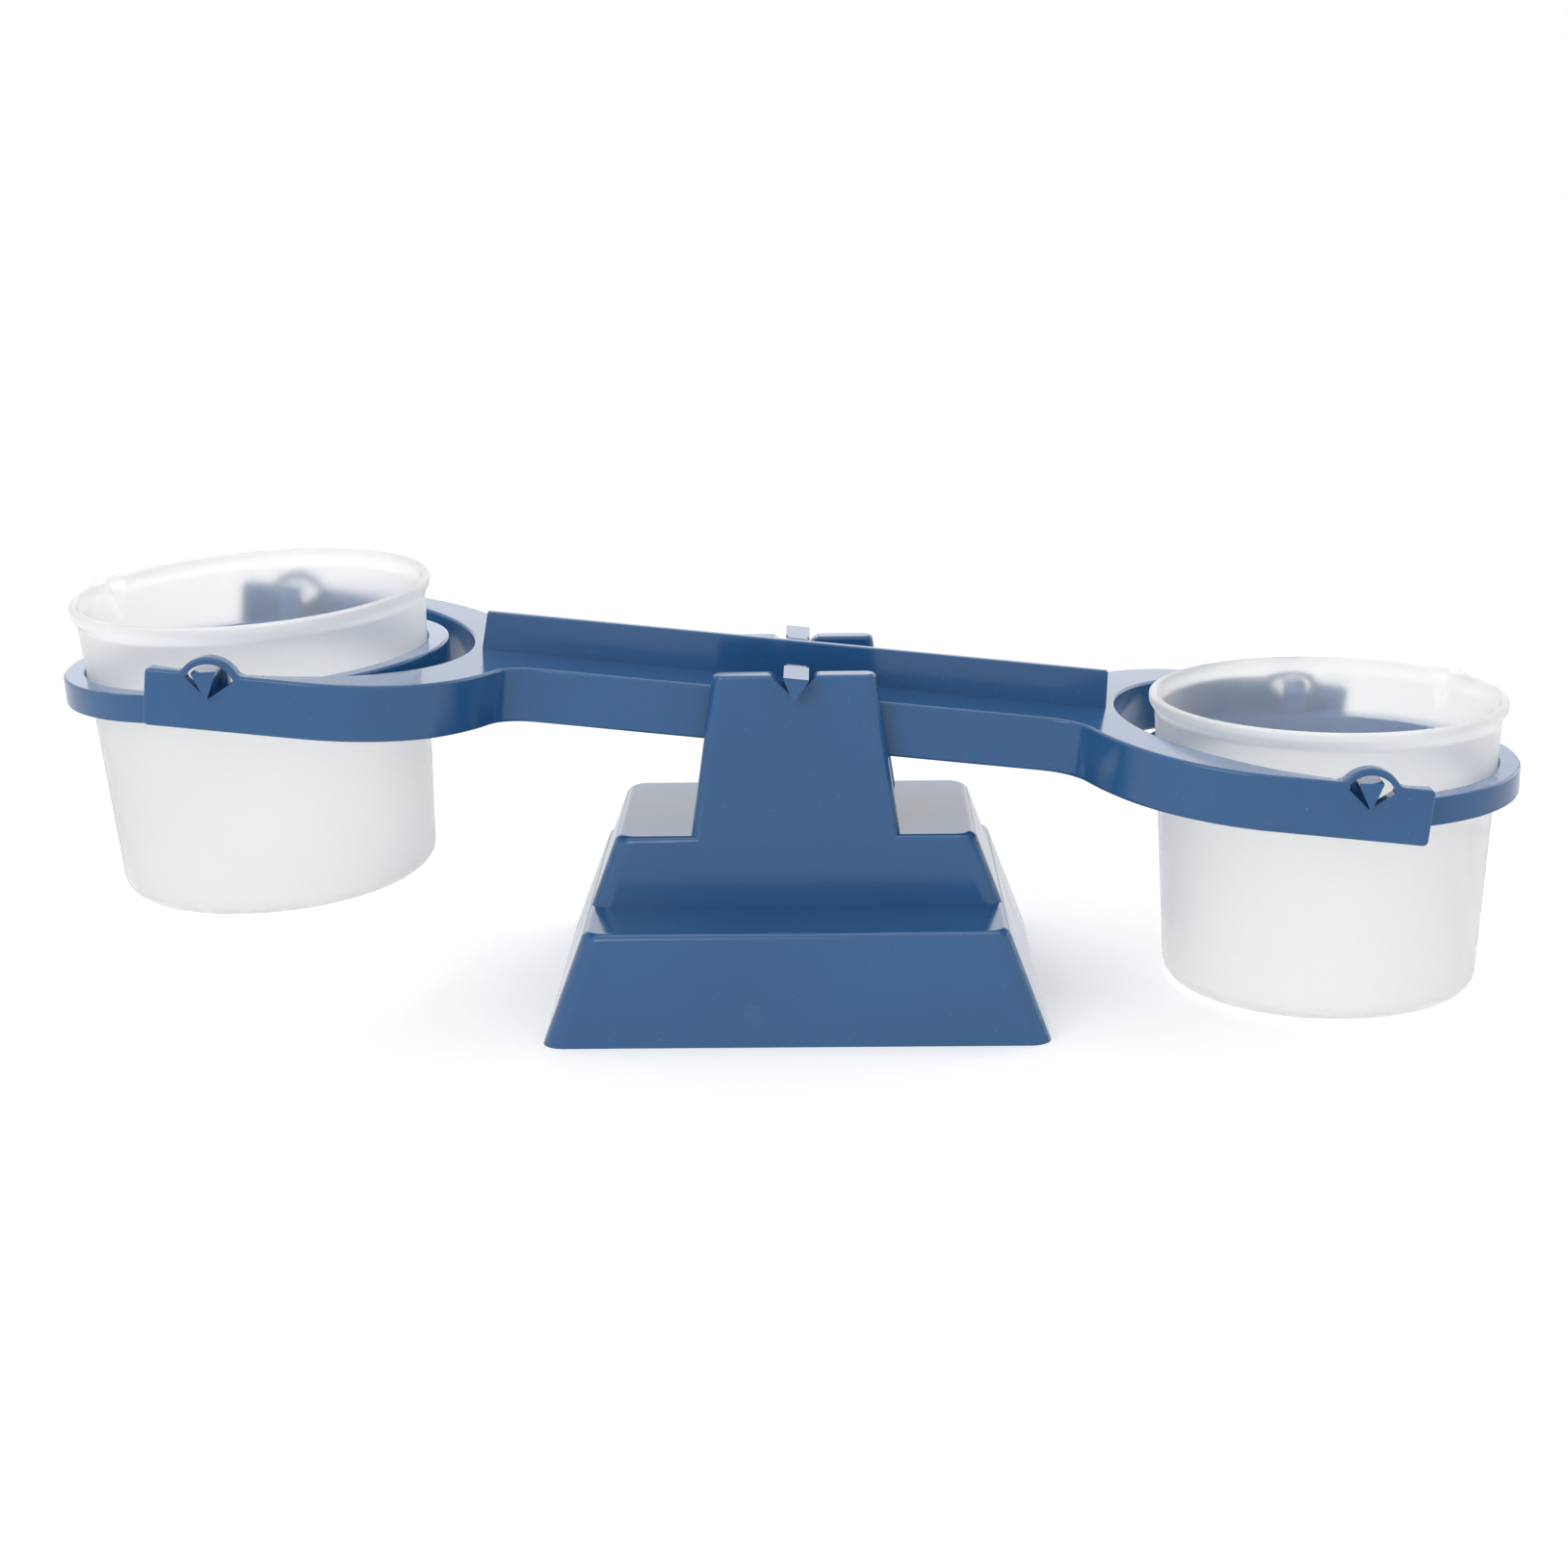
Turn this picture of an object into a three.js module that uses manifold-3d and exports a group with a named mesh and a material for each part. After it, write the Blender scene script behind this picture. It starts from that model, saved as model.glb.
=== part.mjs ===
// Bucket balance: a beam rocks on a two-post stand, with a swinging ring and a lift-out bucket at each end.
// Millimetres, +Z up, +X to the right seen from the front, origin on the table under the middle of the stand.
// The beam is shown at the end of its travel, with the right bucket down on the table.

import * as THREE from 'three';
import { mergeVertices } from 'three/addons/utils/BufferGeometryUtils.js';
import Module from 'manifold-3d';

const wasm = await Module();
wasm.setup();

// Fits and clearances
const KNIFE_GAP = 0.3; // knife edge above the bottom of its notch
const BUCKET_GAP = 0.4; // bucket wall to ring bore
const POST_GAP = 1.2; // beam side to post
const TABLE_GAP = 0.3; // lower bucket above the table

// Stand: a stepped hollow moulding with two tapered posts
const STAND_HALF_WIDTH = 67.3;
const STAND_HALF_DEPTH = 56.9;
const SIDE_SLOPE = 0.373;
const SKIRT_SLOPE = 0.077;
const LEDGE_HEIGHT = 30.5;
const DECK_HEIGHT = 50;
const RISER_DRAFT = 0.004;
const RISER_STEP = 0.3;
const POST_HEIGHT = 93.8;
const POST_FOOT_HALF_WIDTH = 28.1;
const POST_TOP_HALF_WIDTH = 21.7;
const POST_FOOT_THICKNESS = 8.1;
const POST_TOP_THICKNESS = 6.2;
const POST_CORNER = 3.2;
const POST_EDGE = 1.5;
const STAND_SHELL = 2.5;
const STAND_CORNER = 5.2;
const STAND_EDGE = 1.8;
const NOTCH_ANGLE = 45.5;
const NOTCH_LIP = 1.5;

// Beam: a flat deck with side skirts, an upright rib, a cross bar and a fork at each end
const KNIFE_HEIGHT = 88;
const BEAM_HALF_WIDTH = 21;
const DECK_DROP = 0.7;
const SKIRT_DEPTH = 14.9;
const BEAM_SHELL = 2.2;
const BEAM_EDGE = 0.9;
const RIB_SETBACK = 3.5; // rib end to the fork opening
const RIB_TOP = 9.5;
const RIB_THICKNESS = 2.6;
const BAR_HALF_WIDTH = 3.35;
const BAR_TOP = 6.4;
const BAR_HALF_LENGTH = 35;
const ARM_REACH = 147.9;
const PIVOT_DROP = 6.9;
const FORK_GAP = 6.6; // ring to fork opening
const FORK_WALL = 15;
const NECK_FILLET = 12;
const SHOULDER_RADIUS = 45;
const EAR_THICKNESS = 3.4;
const EAR_REACH = 16.4;
const EAR_CORNER = 1.4;
const EYE_ANGLE = 51;
const EYE_RADIUS = 6.9;
const EYE_RISE = 2.1;
const ARCH_WALL = 1.5;
const ARCH_FILLET = 2;

// Ring: an inverted channel with two pillars that carry outward knife edges
const RING_WIDTH = 5.62;
const RING_DROP = 1.2;
const RING_HEIGHT = 7.4;
const RING_WALL = 1.9;
const RING_EDGE = 0.7;
const PILLAR_HALF_WIDTH = 3.1;
const PILLAR_TOP = 7.1;
const PILLAR_INSET = 1.1;
const KNIFE_REACH = 2.2; // ring knife edge past the ear's outer face

// Bucket: a tapered cup with a flared rim and a V pouring lip
const BUCKET_BELOW = 65;
const BUCKET_ABOVE = 16;
const BUCKET_BASE_RADIUS = 43;
const BUCKET_TAPER = 0.053;
const BUCKET_WALL = 1.3;
const BUCKET_HEEL = 5;
const RIM_HEIGHT = 3;
const RIM_FLARE = 2.4; // height over which the wall curves out to the rim
const RIM_OVERHANG = 1.5;
const LIP_REACH = 4.6;
const LIP_HALF_WIDTH = 6.6;
const LIP_DEPTH = 15.5;

// Rest pose
const LEFT_RING_TILT = -3.5;
const RIGHT_RING_TILT = 0;
const LEFT_BUCKET_TIP = 2.3; // the left bucket stands askew in its ring, and a little high
const LEFT_BUCKET_LEAN = 1;
const LEFT_BUCKET_RISE = 1.2;
const LEFT_LIP_TURN = 155;
const RIGHT_LIP_TURN = 36.5;

// Sizes that follow: the ring goes round the bucket, the fork round the ring
// Heights of a ring and its bucket are measured from the ring's knife edges
const bucketRadius = (height) => BUCKET_BASE_RADIUS + BUCKET_TAPER * (height + BUCKET_BELOW);
const RING_OUTER = bucketRadius(-RING_DROP) + BUCKET_GAP + RING_WIDTH;
const FORK_OPENING = RING_OUTER + FORK_GAP;
const FORK_RADIUS = FORK_OPENING + FORK_WALL;
const EAR_FACE = FORK_OPENING + EAR_THICKNESS;
const RIB_HALF_LENGTH = ARM_REACH - FORK_OPENING - RIB_SETBACK;

const ROUND_STEPS = 54;
const deg = THREE.MathUtils.degToRad;
const tanDeg = (angle) => Math.tan(deg(angle));

const bluePlastic = new THREE.MeshStandardMaterial({ color: 0x34578b, roughness: 0.38, metalness: 0 });
const frostedPlastic = new THREE.MeshStandardMaterial({
  color: 0xe3e6ea,
  roughness: 0.45,
  metalness: 0,
  transparent: true,
  opacity: 0.62,
});

// Closed geometry to solid, and solid to named mesh
function solid(geometry) {
  const plain = geometry.clone();
  plain.deleteAttribute('normal');
  plain.deleteAttribute('uv');
  const merged = mergeVertices(plain, 1e-4);
  return new wasm.Manifold(new wasm.Mesh({
    numProp: 3,
    vertProperties: new Float32Array(merged.attributes.position.array),
    triVerts: new Uint32Array(merged.index.array),
  }));
}

function meshOf(name, body, material) {
  const { vertProperties, triVerts } = body.getMesh();
  const geometry = new THREE.BufferGeometry();
  geometry.setAttribute('position', new THREE.BufferAttribute(vertProperties, 3));
  geometry.setIndex(new THREE.BufferAttribute(triVerts, 1));
  geometry.computeVertexNormals();
  const mesh = new THREE.Mesh(geometry, material);
  mesh.name = name;
  return mesh;
}

// Plan outline raised from z0 to z1, with its edges rounded
function raise(shape, z0, z1, edge = 0, edgeSteps = 2) {
  const geometry = new THREE.ExtrudeGeometry(shape, {
    depth: z1 - z0 - 2 * edge,
    bevelEnabled: edge > 0,
    bevelThickness: edge,
    bevelSize: edge,
    bevelOffset: -edge,
    bevelSegments: edgeSteps,
    curveSegments: 4,
  });
  return geometry.translate(0, 0, z0 + edge);
}

// Front outline, drawn in X and Z, carried in depth from y0 to y1
function slab(shape, y0, y1, edge = 0) {
  return raise(shape, 0, y1 - y0, edge).rotateX(Math.PI / 2).translate(0, y1, 0);
}

function polygon(points) {
  return new THREE.Shape(points.map(([x, y]) => new THREE.Vector2(x, y)));
}

function roundedRectangle(halfX, halfY, radius) {
  const x = halfX - radius;
  const y = halfY - radius;
  const shape = new THREE.Shape();
  shape.absarc(x, y, radius, 0, Math.PI / 2);
  shape.absarc(-x, y, radius, Math.PI / 2, Math.PI);
  shape.absarc(-x, -y, radius, Math.PI, 1.5 * Math.PI);
  shape.absarc(x, -y, radius, 1.5 * Math.PI, 2 * Math.PI);
  return shape;
}

// Rounded rectangle that tapers between two levels: a level has z, half width, and its front and back in Y
function taper(low, high, corner, edge, edgeSteps = 2) {
  const halfDepth = (low.back - low.front) / 2;
  const shape = roundedRectangle(low.half, halfDepth, corner);
  const geometry = raise(shape, low.z - edge, high.z, edge, edgeSteps);
  const position = geometry.attributes.position;
  const mix = THREE.MathUtils.lerp;
  for (let i = 0; i < position.count; i += 1) {
    const t = (position.getZ(i) - low.z) / (high.z - low.z);
    const front = mix(low.front, high.front, t);
    const back = mix(low.back, high.back, t);
    const x = position.getX(i) * mix(low.half, high.half, t) / low.half;
    const y = (front + back) / 2 + position.getY(i) * (back - front) / (2 * halfDepth);
    position.setXYZ(i, x, y, position.getZ(i));
  }
  return geometry;
}

function arc(x, y, radius, from, to, steps) {
  return Array.from({ length: steps + 1 }, (_, i) => {
    const angle = from + (to - from) * i / steps;
    return new THREE.Vector2(x + radius * Math.cos(angle), y + radius * Math.sin(angle));
  });
}

function turned(points, steps = ROUND_STEPS) {
  const profile = points.map(([r, z]) => new THREE.Vector2(r, z));
  return new THREE.LatheGeometry(profile, steps).rotateX(Math.PI / 2);
}

function unite(bodies) {
  return bodies.reduce((whole, body) => whole.add(body));
}

// Knife-edge section: flat top, sides that meet in a fine edge at the origin
function knifeSection(halfWidth, top) {
  const edge = 0.15;
  const round = 0.6;
  return polygon([
    [-edge, 0],
    [edge, 0],
    [halfWidth - 0.1, top - round],
    [halfWidth - round, top],
    [round - halfWidth, top],
    [0.1 - halfWidth, top - round],
  ]);
}

// V notch open at the top of a post, with rounded lips
function notchSection(tip, top) {
  const turn = deg(90 - NOTCH_ANGLE);
  const lipX = (top - tip) * tanDeg(NOTCH_ANGLE) + NOTCH_LIP * Math.tan(turn / 2);
  const lip = arc(lipX, top - NOTCH_LIP, NOTCH_LIP, Math.PI / 2 + turn, Math.PI / 2, 4);
  const right = lip.map(({ x, y }) => [x, y]);
  const left = lip.map(({ x, y }) => [-x, y]).reverse();
  return polygon([[0, tip], ...right, [lipX, top + 5], [-lipX, top + 5], ...left]);
}

function buildStand() {
  const sideAt = (z) => STAND_HALF_WIDTH - SIDE_SLOPE * z;
  const skirtAt = (z) => STAND_HALF_DEPTH - SKIRT_SLOPE * z;
  const postInner = BEAM_HALF_WIDTH + POST_GAP;
  const postFootFront = postInner - 0.3 + POST_FOOT_THICKNESS;
  const riserAt = (z) => postFootFront + 0.05 + RISER_DRAFT * (DECK_HEIGHT - z);
  const level = (z, half, depth) => ({ z, half, front: -depth, back: depth });
  const skirt = (z, wall) => level(z, sideAt(z) - 1.07 * wall, skirtAt(z) - wall);
  const riser = (z, wall) => level(z, sideAt(z) - RISER_STEP - 1.07 * wall, riserAt(z) - wall);

  const postFoot = { half: POST_FOOT_HALF_WIDTH, inner: postInner - 0.3, outer: postFootFront };
  const postTop = { half: POST_TOP_HALF_WIDTH, inner: postInner, outer: postInner + POST_TOP_THICKNESS };
  const post = (z, side, wall) => {
    const t = (z - DECK_HEIGHT) / (POST_HEIGHT - DECK_HEIGHT);
    const at = (key) => THREE.MathUtils.lerp(postFoot[key], postTop[key], t);
    const near = side * (at('inner') + wall);
    const far = side * (at('outer') - wall);
    return { z, half: at('half') - wall, front: Math.min(near, far), back: Math.max(near, far) };
  };

  const bodies = [
    taper(skirt(0, 0), skirt(LEDGE_HEIGHT, 0), STAND_CORNER, STAND_EDGE),
    taper(riser(LEDGE_HEIGHT - 12, 0), riser(DECK_HEIGHT, 0), STAND_CORNER, STAND_EDGE),
    taper(post(DECK_HEIGHT - 3, -1, 0), post(POST_HEIGHT, -1, 0), POST_CORNER, POST_EDGE),
    taper(post(DECK_HEIGHT - 3, 1, 0), post(POST_HEIGHT, 1, 0), POST_CORNER, POST_EDGE),
  ];
  const notchTip = KNIFE_HEIGHT - KNIFE_GAP;
  const coreTop = notchTip - 5.5;
  const wall = STAND_SHELL;
  const depth = STAND_HALF_DEPTH + 5;
  const below = new THREE.BoxGeometry(4 * STAND_HALF_WIDTH, 4 * STAND_HALF_DEPTH, 20).translate(0, 0, -10);
  const cuts = [
    below,
    taper(skirt(-1, wall), skirt(LEDGE_HEIGHT - wall, wall), STAND_CORNER - 1.5, 0.6, 1),
    taper(riser(LEDGE_HEIGHT - 9, wall), riser(DECK_HEIGHT - wall, wall), STAND_CORNER - 1.5, 0.6, 1),
    taper(post(DECK_HEIGHT - wall - 4, -1, 2.2), post(coreTop, -1, 2.2), 0.8, 0.4, 1),
    taper(post(DECK_HEIGHT - wall - 4, 1, 2.2), post(coreTop, 1, 2.2), 0.8, 0.4, 1),
    slab(notchSection(notchTip, POST_HEIGHT), -depth, depth),
  ];
  return unite(bodies.map(solid)).subtract(unite(cuts.map(solid)));
}

// Beam outline in plan, drawn a wall thickness inside the real one where inset is above zero
function beamOutline(inset, end) {
  const half = BEAM_HALF_WIDTH - inset;
  const neck = NECK_FILLET + inset;
  const fork = FORK_RADIUS - inset;
  const shoulder = SHOULDER_RADIUS - inset;
  const ear = EAR_FACE - inset;
  const opening = FORK_OPENING + inset;
  const neckX = ARM_REACH - Math.sqrt((fork + neck) ** 2 - (half + neck) ** 2);
  const neckTurn = Math.atan2(half + neck, ARM_REACH - neckX);
  const shoulderX = ARM_REACH - Math.sqrt((fork - shoulder) ** 2 - (ear - shoulder) ** 2);
  const shoulderTurn = Math.atan2(shoulder - ear, shoulderX - ARM_REACH);
  const endInner = Math.sqrt(opening ** 2 - (end - ARM_REACH) ** 2);
  const endTurn = Math.atan2(-endInner, end - ARM_REACH);
  const quarter = [
    ...arc(neckX, -half - neck, neck, Math.PI / 2, neckTurn, 6),
    ...arc(ARM_REACH, 0, fork, neckTurn - Math.PI, shoulderTurn, 4).slice(1),
    ...arc(shoulderX, shoulder - ear, shoulder, shoulderTurn, -Math.PI / 2, 8).slice(1),
    new THREE.Vector2(end, -ear),
    ...arc(ARM_REACH, 0, opening, endTurn, -Math.PI, 18),
  ];
  const flip = (points, sx, sy) => points.map((p) => new THREE.Vector2(sx * p.x, sy * p.y));
  return new THREE.Shape([
    ...quarter,
    ...flip(quarter, 1, -1).reverse().slice(1),
    ...flip(quarter, -1, -1),
    ...flip(quarter, -1, 1).reverse().slice(1),
  ]);
}

// Eye in an ear: a V below, a round arch above, measured from the tip of the V
function eyeSection(x, z) {
  const side = Math.atan2(tanDeg(90 - EYE_ANGLE), 1);
  const lean = EYE_RISE * Math.cos(side);
  const start = side - Math.asin(lean / EYE_RADIUS);
  const round = arc(x, z + EYE_RISE, EYE_RADIUS, start, Math.PI - start, 12);
  return new THREE.Shape([new THREE.Vector2(x, z), ...round]);
}

// Arch over an eye, with filleted feet on the deck
function archSection(x, deck) {
  const centre = EYE_RISE - PIVOT_DROP;
  const radius = EYE_RADIUS + ARCH_WALL;
  const footZ = deck + ARCH_FILLET;
  const run = Math.sqrt((radius + ARCH_FILLET) ** 2 - (footZ - centre) ** 2);
  const turn = Math.atan2(footZ - centre, run);
  return new THREE.Shape([
    new THREE.Vector2(x + run, deck - 2),
    ...arc(x + run, footZ, ARCH_FILLET, 1.5 * Math.PI, Math.PI + turn, 3),
    ...arc(x, centre, radius, turn, Math.PI - turn, 16).slice(1),
    ...arc(x - run, footZ, ARCH_FILLET, -turn, -Math.PI / 2, 3).slice(1),
    new THREE.Vector2(x - run, deck - 2),
  ]);
}

// What a rounded corner at (x, z) leaves over: sideX and sideZ point out of the body
function cornerSection(x, z, sideX, sideZ, radius) {
  const round = Array.from({ length: 5 }, (_, i) => {
    const angle = i * Math.PI / 8;
    return [x - sideX * radius * (1 - Math.cos(angle)), z - sideZ * radius * (1 - Math.sin(angle))];
  });
  return polygon([
    [x + sideX, z - sideZ * radius],
    ...round,
    [x - sideX * radius, z + sideZ],
    [x + sideX, z + sideZ],
  ]);
}

function buildBeam() {
  const deck = -DECK_DROP;
  const end = ARM_REACH + EAR_REACH;
  const cavityEnd = ARM_REACH - 20;
  const root = BEAM_HALF_WIDTH - 1.2;
  const rib = polygon([
    [-RIB_HALF_LENGTH - 0.8, deck - 0.6],
    [RIB_HALF_LENGTH + 0.8, deck - 0.6],
    ...arc(RIB_HALF_LENGTH - 1.5, RIB_TOP - 1.5, 1.5, 0, Math.PI / 2, 4).map((p) => [p.x, p.y]),
    ...arc(1.5 - RIB_HALF_LENGTH, RIB_TOP - 1.5, 1.5, Math.PI / 2, Math.PI, 4).map((p) => [p.x, p.y]),
  ]);
  const bar = polygon([
    [-BAR_HALF_WIDTH, deck - 0.6],
    [BAR_HALF_WIDTH, deck - 0.6],
    [BAR_HALF_WIDTH, BAR_TOP - 0.6],
    [BAR_HALF_WIDTH - 0.6, BAR_TOP],
    [0.6 - BAR_HALF_WIDTH, BAR_TOP],
    [-BAR_HALF_WIDTH, BAR_TOP - 0.6],
  ]);
  const knife = knifeSection(BAR_HALF_WIDTH, BAR_TOP);
  const bodies = [
    raise(beamOutline(0, end), deck - SKIRT_DEPTH, deck, BEAM_EDGE),
    slab(rib, -RIB_THICKNESS / 2, RIB_THICKNESS / 2, 0.4),
    slab(bar, -root, root),
    slab(knife, -BAR_HALF_LENGTH, 1 - root),
    slab(knife, root - 1, BAR_HALF_LENGTH),
  ];
  const cuts = [raise(beamOutline(BEAM_SHELL, cavityEnd), deck - SKIRT_DEPTH - 1, deck - BEAM_SHELL)];
  const ears = [];
  for (const side of [-1, 1]) {
    const x = side * ARM_REACH;
    const arch = archSection(x, deck);
    ears.push(slab(arch, -EAR_FACE, -EAR_FACE + 6, 0.6));
    ears.push(slab(arch, EAR_FACE - 6, EAR_FACE, 0.6));
    const eye = eyeSection(x, -PIVOT_DROP - KNIFE_GAP);
    cuts.push(slab(eye, -EAR_FACE - 3, -EAR_FACE + 9));
    cuts.push(slab(eye, EAR_FACE - 9, EAR_FACE + 3));
    for (const [z, sideZ] of [[deck, 1], [deck - SKIRT_DEPTH, -1]]) {
      const corner = cornerSection(side * end, z, side, sideZ, EAR_CORNER);
      cuts.push(slab(corner, -EAR_FACE - 3, EAR_FACE + 3));
    }
  }
  const opening = (side) => new THREE.CylinderGeometry(FORK_OPENING, FORK_OPENING, 80, 72)
    .rotateX(Math.PI / 2)
    .translate(side * ARM_REACH, 0, 0);
  const openings = solid(opening(-1)).add(solid(opening(1)));
  const arches = unite(ears.map(solid)).subtract(openings);
  return unite(bodies.map(solid)).add(arches).subtract(unite(cuts.map(solid)));
}

function buildRing() {
  const top = -RING_DROP;
  const foot = top - RING_HEIGHT;
  const bore = (height) => bucketRadius(height) + BUCKET_GAP;
  const edge = RING_EDGE;
  const profile = [
    [bore(foot), foot],
    [bore(foot) + RING_WALL, foot],
    [bore(foot) + RING_WALL, top - RING_WALL],
    [RING_OUTER - RING_WALL, top - RING_WALL],
    [RING_OUTER - RING_WALL, foot],
    [RING_OUTER - 0.3, foot],
    [RING_OUTER, foot + 0.3],
    ...arc(RING_OUTER - edge, top - edge, edge, 0, Math.PI / 2, 3).map((p) => [p.x, p.y]),
    [bore(top) + 0.3, top],
    [bore(top), top - 0.3],
    [bore(foot), foot],
  ];
  const inner = bore(top) + PILLAR_INSET;
  const outer = RING_OUTER - 0.2;
  const pillar = polygon([
    [-PILLAR_HALF_WIDTH, top - 0.6],
    [PILLAR_HALF_WIDTH, top - 0.6],
    [PILLAR_HALF_WIDTH, PILLAR_TOP - 0.6],
    [PILLAR_HALF_WIDTH - 0.6, PILLAR_TOP],
    [0.6 - PILLAR_HALF_WIDTH, PILLAR_TOP],
    [-PILLAR_HALF_WIDTH, PILLAR_TOP - 0.6],
  ]);
  const knife = knifeSection(PILLAR_HALF_WIDTH, PILLAR_TOP);
  const tip = EAR_FACE + KNIFE_REACH;
  return unite([
    turned(profile),
    slab(pillar, -outer, -inner),
    slab(pillar, inner, outer),
    slab(knife, -tip, 1 - outer),
    slab(knife, outer - 1, tip),
  ].map(solid));
}

// Pouring lip: an upside-down pyramid whose outer edge runs from the wall out to the tip at the rim
function lipPyramid(tip, halfWidth, top, apexX, apexZ) {
  const reach = 2 * LIP_REACH;
  const spread = halfWidth * reach / (LIP_REACH + 1.6);
  const height = top - apexZ;
  const geometry = new THREE.ConeGeometry(1, height, 4)
    .rotateX(-Math.PI / 2)
    .translate(0, 0, apexZ + height / 2);
  const position = geometry.attributes.position;
  for (let i = 0; i < position.count; i += 1) {
    const t = (position.getZ(i) - apexZ) / height;
    const centre = THREE.MathUtils.lerp(apexX, tip - reach, t);
    position.setXYZ(i, centre + reach * position.getX(i), spread * position.getY(i), position.getZ(i));
  }
  return geometry;
}

function buildBucket() {
  const foot = -BUCKET_BELOW;
  const top = BUCKET_ABOVE;
  const under = top - RIM_HEIGHT;
  const flare = under - RIM_FLARE;
  const lean = Math.atan(BUCKET_TAPER);
  const rimRadius = bucketRadius(under) + RIM_OVERHANG;
  const wall = BUCKET_WALL;
  const heel = (inset) => {
    const radius = BUCKET_HEEL - inset;
    const centre = bucketRadius(foot + BUCKET_HEEL) - BUCKET_HEEL;
    return arc(centre, foot + BUCKET_HEEL, radius, -Math.PI / 2, -lean, 5).map((p) => [p.x, p.y]);
  };
  const outside = [
    [0, foot + 0.5],
    [BUCKET_BASE_RADIUS - BUCKET_HEEL - 3, foot + 0.5],
    [BUCKET_BASE_RADIUS - BUCKET_HEEL - 2, foot],
    ...heel(0),
    [bucketRadius(flare), flare],
    [bucketRadius(flare) + 0.35 * RIM_OVERHANG, flare + RIM_FLARE / 2],
    [rimRadius - 0.3 * RIM_OVERHANG, under],
    [rimRadius, under + 1.2],
    [rimRadius, top - 0.9],
    [rimRadius - 0.6, top],
    [0, top],
  ];
  const inside = [
    [0, foot + wall + 0.5],
    [BUCKET_BASE_RADIUS - BUCKET_HEEL - 2, foot + wall + 0.5],
    ...heel(wall).slice(1),
    [bucketRadius(under) - wall, under],
    [bucketRadius(top + 1) - wall + 0.8, top + 1],
    [0, top + 1],
  ];
  const tip = bucketRadius(top) + LIP_REACH;
  const apexZ = top - LIP_DEPTH;
  const apexX = bucketRadius(apexZ);
  const skin = 1.4 * wall;
  const beadTip = tip + 1.3 * RIM_OVERHANG;
  const bead = polygon([
    [beadTip, 0],
    [beadTip - 2 * LIP_REACH, 2.2 * LIP_HALF_WIDTH],
    [beadTip - 2 * LIP_REACH - 4, 0],
    [beadTip - 2 * LIP_REACH, -2.2 * LIP_HALF_WIDTH],
  ]);
  const outer = unite([
    turned(outside),
    lipPyramid(tip, LIP_HALF_WIDTH, top, apexX, apexZ),
  ].map(solid));
  const circle = new THREE.CylinderGeometry(rimRadius + 6, rimRadius + 6, 40, ROUND_STEPS)
    .rotateX(Math.PI / 2);
  const lipBead = solid(raise(bead, under, top, 0.5)).intersect(solid(circle));
  const hollow = unite([
    turned(inside),
    lipPyramid(tip - skin, LIP_HALF_WIDTH, top + 1, apexX - skin, apexZ + 2),
  ].map(solid));
  return outer.add(lipBead).subtract(hollow);
}

// How far the beam tips before the lower bucket reaches the table
function restTilt() {
  const drop = KNIFE_HEIGHT - BUCKET_BELOW - TABLE_GAP;
  const reach = Math.hypot(ARM_REACH, PIVOT_DROP);
  return Math.asin(drop / reach) - Math.atan2(PIVOT_DROP, ARM_REACH);
}

const group = new THREE.Group();
group.add(meshOf('stand', buildStand(), bluePlastic));

const tilt = restTilt();
const beam = new THREE.Group();
beam.position.z = KNIFE_HEIGHT;
beam.rotation.y = tilt;
beam.add(meshOf('beam', buildBeam(), bluePlastic));
group.add(beam);

const ringBody = buildRing();
const bucketBody = buildBucket();
for (const end of [
  {
    name: 'left',
    side: -1,
    ring: LEFT_RING_TILT,
    tip: LEFT_BUCKET_TIP,
    lean: LEFT_BUCKET_LEAN,
    rise: LEFT_BUCKET_RISE,
    lip: LEFT_LIP_TURN,
  },
  { name: 'right', side: 1, ring: RIGHT_RING_TILT, tip: 0, lean: 0, rise: 0, lip: RIGHT_LIP_TURN },
]) {
  const ring = new THREE.Group();
  ring.position.set(end.side * ARM_REACH, 0, -PIVOT_DROP);
  ring.rotation.y = deg(end.ring) - tilt;
  ring.add(meshOf(`${end.name}_ring`, ringBody, bluePlastic));
  beam.add(ring);

  const seat = new THREE.Group();
  const seatHeight = -RING_DROP - RING_HEIGHT / 2;
  seat.position.z = seatHeight;
  seat.rotation.set(deg(end.tip), deg(end.lean), 0);
  const bucket = meshOf(`${end.name}_bucket`, bucketBody, frostedPlastic);
  bucket.position.z = end.rise - seatHeight;
  bucket.rotation.z = deg(end.lip);
  seat.add(bucket);
  ring.add(seat);
}

export default group;
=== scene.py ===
# %% [markdown]
# A bucket balance, dressed on its CAD frame. The CAD model gives the bodies, their places and the way
# they move. This lesson rebuilds each visible moulding on that frame with finer curves and rounded edges,
# and then gives it its plastic.

# %% Load the frame
import math

import bmesh
import bpy
from mathutils import Matrix, Vector


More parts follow.
